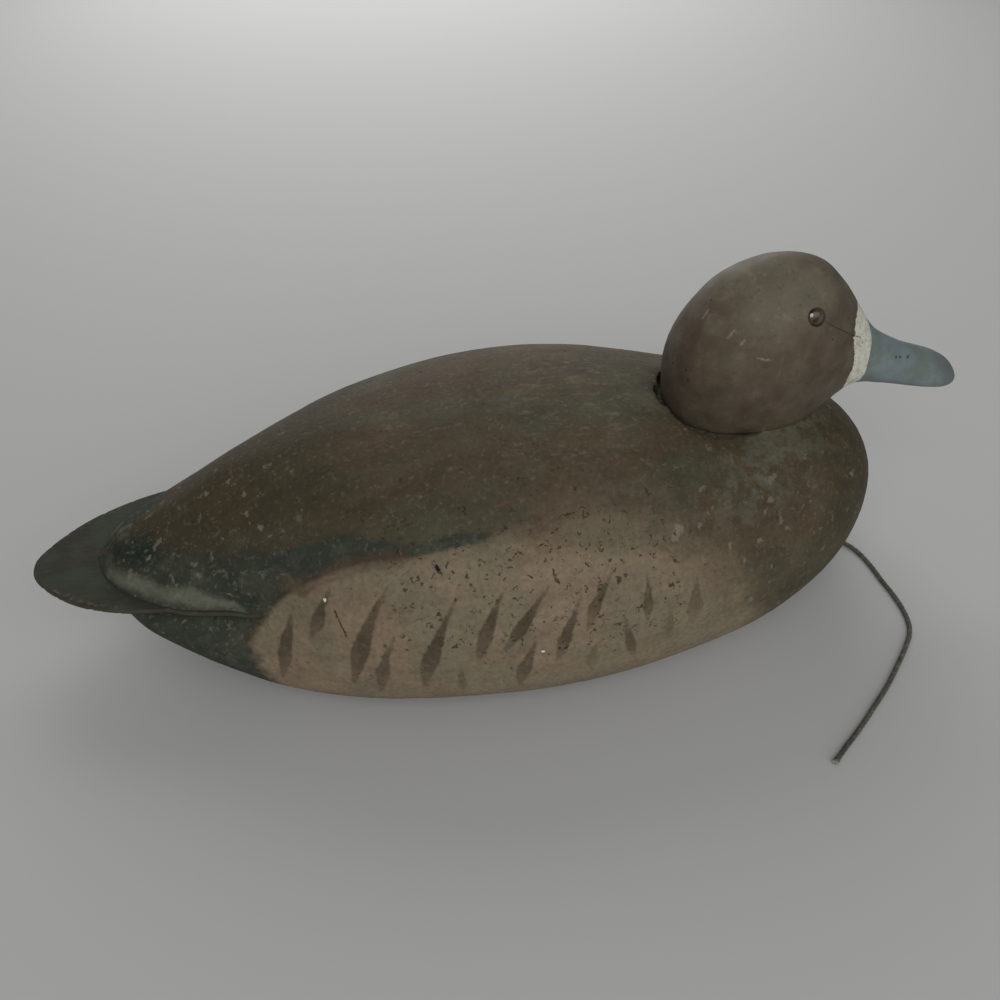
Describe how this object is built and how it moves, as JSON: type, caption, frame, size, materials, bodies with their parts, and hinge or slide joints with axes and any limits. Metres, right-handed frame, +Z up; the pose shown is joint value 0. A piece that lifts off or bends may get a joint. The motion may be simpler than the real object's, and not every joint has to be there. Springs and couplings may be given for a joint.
{
  "type": "duck decoy",
  "caption": "Full-bodied floating duck decoy with a flat underside, a turned-down bill, a thin flat tail and a short loose end of anchor line.",
  "frame": {"origin": "on the floor under the middle of the decoy's box, at the flat underside", "axes": "+X towards the bill, +Z up, +Y to the bird's left"},
  "size_m": [0.4543, 0.238, 0.1761],
  "materials": {
    "cork": "weathered matt paint over pitted cork",
    "tail_wood": "worn dark paint over thin wood",
    "head_wood": "worn matt paint over carved wood",
    "line": "braided cord, matt",
    "eye_glass": "clear amber glass over a painted back"
  },
  "bodies": {
    "root": {"body": "cork", "tail_board": "tail_wood", "head": "head_wood", "anchor_line": "line", "eye_right": "eye_glass", "eye_left": "eye_glass"}
  },
  "joints": []
}
